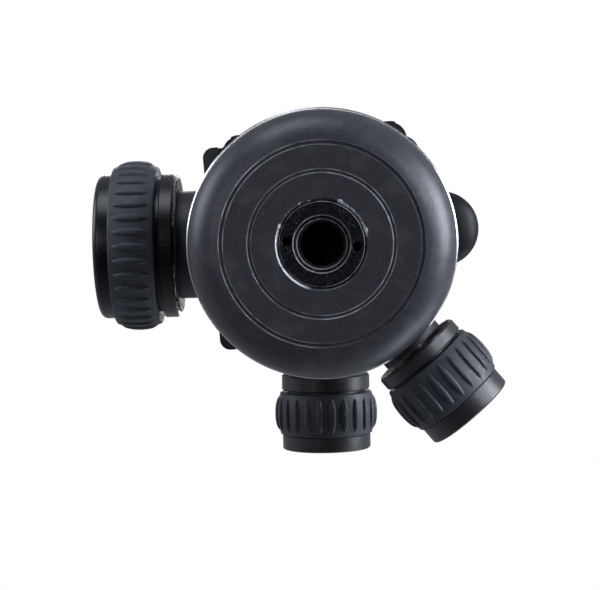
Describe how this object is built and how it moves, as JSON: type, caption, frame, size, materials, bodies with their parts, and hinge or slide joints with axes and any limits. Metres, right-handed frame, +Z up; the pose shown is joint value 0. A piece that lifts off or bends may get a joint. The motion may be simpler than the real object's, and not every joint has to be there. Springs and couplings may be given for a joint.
{
  "type": "tripod ball head",
  "caption": "Ball head mount with a panning base, drop slot, three rubber-gripped lock knobs and a screw clamp with camera plate.",
  "frame": {"origin": "centre of the tripod thread's mouth, level with the underside of the base disc", "axes": "+Z up along the pan axis, away from the tripod; +X towards the main lock knob; +Y towards the drop slot"},
  "size_m": [0.0809, 0.0693, 0.097],
  "materials": {
    "base_anodised": "satin",
    "housing_coat": "fine textured",
    "collar_anodised": "satin",
    "scale_satin": "satin",
    "knob_anodised": "fine blasted",
    "stem_anodised": "satin",
    "ball_anodised": "polished",
    "clamp_anodised": "satin",
    "plate_anodised": "satin",
    "black_oxide_steel": "black oxide",
    "bright_steel": "turned",
    "brass": "turned",
    "white_nylon": "matte",
    "grip_rubber": "matte",
    "clamp_knob_soft_touch": "satin",
    "pad_rubber": "matte"
  },
  "bodies": {
    "base": {"base_disc": "base_anodised", "thread_insert": "black_oxide_steel", "pan_spindle": "bright_steel", "pan_retaining_ring": "bright_steel", "pan_glide_ring": "white_nylon", "pan_wave_washer": "bright_steel"},
    "housing": {"housing": "housing_coat", "scale_ring": "scale_satin", "lower_ball_cup": "white_nylon", "cup_spring_washer": "bright_steel", "upper_ball_seat": "brass", "collar": "collar_anodised", "collar_set_screw": "black_oxide_steel", "main_bush": "brass", "friction_bush": "brass", "pan_bush": "brass", "main_dust_disc": "knob_anodised"},
    "ball": {"ball": "ball_anodised"},
    "stem": {"ball_stem": "stem_anodised"},
    "clamp": {"clamp_body": "clamp_anodised", "clamp_screw": "black_oxide_steel", "fixed_jaw": "clamp_anodised", "jaw_screws": "black_oxide_steel", "drawbolt": "bright_steel", "guide_pins": "bright_steel", "jaw_spring": "bright_steel"},
    "main_shoe": {"main_shoe": "brass"},
    "main_knob": {"main_screw": "bright_steel", "main_knob_core": "knob_anodised", "main_knob_grip": "grip_rubber", "main_knob_cap": "knob_anodised"},
    "friction_pad": {"friction_pad": "white_nylon"},
    "friction_knob": {"friction_screw": "bright_steel", "friction_knob_core": "knob_anodised", "friction_knob_grip": "grip_rubber", "friction_knob_cap": "knob_anodised"},
    "pan_shoe": {"pan_shoe": "brass"},
    "pan_knob": {"pan_screw": "bright_steel", "pan_knob_core": "knob_anodised", "pan_knob_grip": "grip_rubber", "pan_knob_cap": "knob_anodised"},
    "sliding_jaw": {"sliding_jaw": "clamp_anodised"},
    "clamp_knob": {"clamp_knob": "clamp_knob_soft_touch", "clamp_knob_nut": "brass"},
    "camera_plate": {"camera_plate": "plate_anodised", "plate_pad": "pad_rubber", "screw_washer": "white_nylon"},
    "camera_screw": {"camera_screw": "bright_steel"}
  },
  "joints": [
    {"name": "pan", "type": "hinge", "parent": "base", "child": "housing", "pos_m": [0, 0, 0], "axis": [0, 0, 1], "continuous": true},
    {"name": "ball_side_tilt", "type": "hinge", "parent": "housing", "child": "ball", "pos_m": [0, 0, 0.048], "axis": [0, 1, 0], "range_deg": [-28, 28]},
    {"name": "ball_tilt", "type": "hinge", "parent": "ball", "child": "stem", "pos_m": [0, 0, 0.048], "axis": [-1, 0, 0], "range_deg": [-30, 90]},
    {"name": "ball_spin", "type": "hinge", "parent": "stem", "child": "clamp", "pos_m": [0, 0, 0.048], "axis": [0, 0, 1], "continuous": true},
    {"name": "main_shoe_feed", "type": "slide", "parent": "housing", "child": "main_shoe", "axis": [1, 0, 0], "range_m": [0, 0.00041667]},
    {"name": "main_knob_turn", "type": "hinge", "parent": "main_shoe", "child": "main_knob", "pos_m": [0.037, 0, 0.04], "axis": [1, 0, 0], "range_deg": [-3, 126]},
    {"name": "friction_pad_feed", "type": "slide", "parent": "housing", "child": "friction_pad", "axis": [0, -1, 0], "range_m": [0, 0.0005]},
    {"name": "friction_knob_turn", "type": "hinge", "parent": "friction_pad", "child": "friction_knob", "pos_m": [0, -0.034, 0.04], "axis": [0, -1, 0], "range_deg": [-5, 189]},
    {"name": "pan_shoe_feed", "type": "slide", "parent": "housing", "child": "pan_shoe", "axis": [-0.6428, -0.766, 0], "range_m": [0, 0.0005]},
    {"name": "pan_knob_turn", "type": "hinge", "parent": "pan_shoe", "child": "pan_knob", "pos_m": [-0.02185, -0.02604, 0.017], "axis": [-0.6428, -0.766, 0], "range_deg": [-5, 189]},
    {"name": "jaw_slide", "type": "slide", "parent": "clamp", "child": "sliding_jaw", "axis": [-0.9976, 0.0698, 0], "range_m": [0, 0.002]},
    {"name": "clamp_knob_turn", "type": "hinge", "parent": "sliding_jaw", "child": "clamp_knob", "pos_m": [-0.02793, 0.00195, 0.081], "axis": [-0.9976, 0.0698, 0], "range_deg": [-10, 740]},
    {"name": "plate_slide", "type": "slide", "parent": "clamp", "child": "camera_plate", "axis": [0.0698, 0.9976, 0], "range_m": [-0.045, 0.045]},
    {"name": "camera_screw_turn", "type": "hinge", "parent": "camera_plate", "child": "camera_screw", "pos_m": [0, 0, 0.09], "axis": [0, 0, 1], "continuous": true}
  ],
  "couplings": [
    {"joint": "main_knob_turn", "follows": "main_shoe_feed", "rad_per_m": 5026.5},
    {"joint": "friction_knob_turn", "follows": "friction_pad_feed", "rad_per_m": 6283.2},
    {"joint": "pan_knob_turn", "follows": "pan_shoe_feed", "rad_per_m": 6283.2},
    {"joint": "clamp_knob_turn", "follows": "jaw_slide", "rad_per_m": 6283.2}
  ]
}
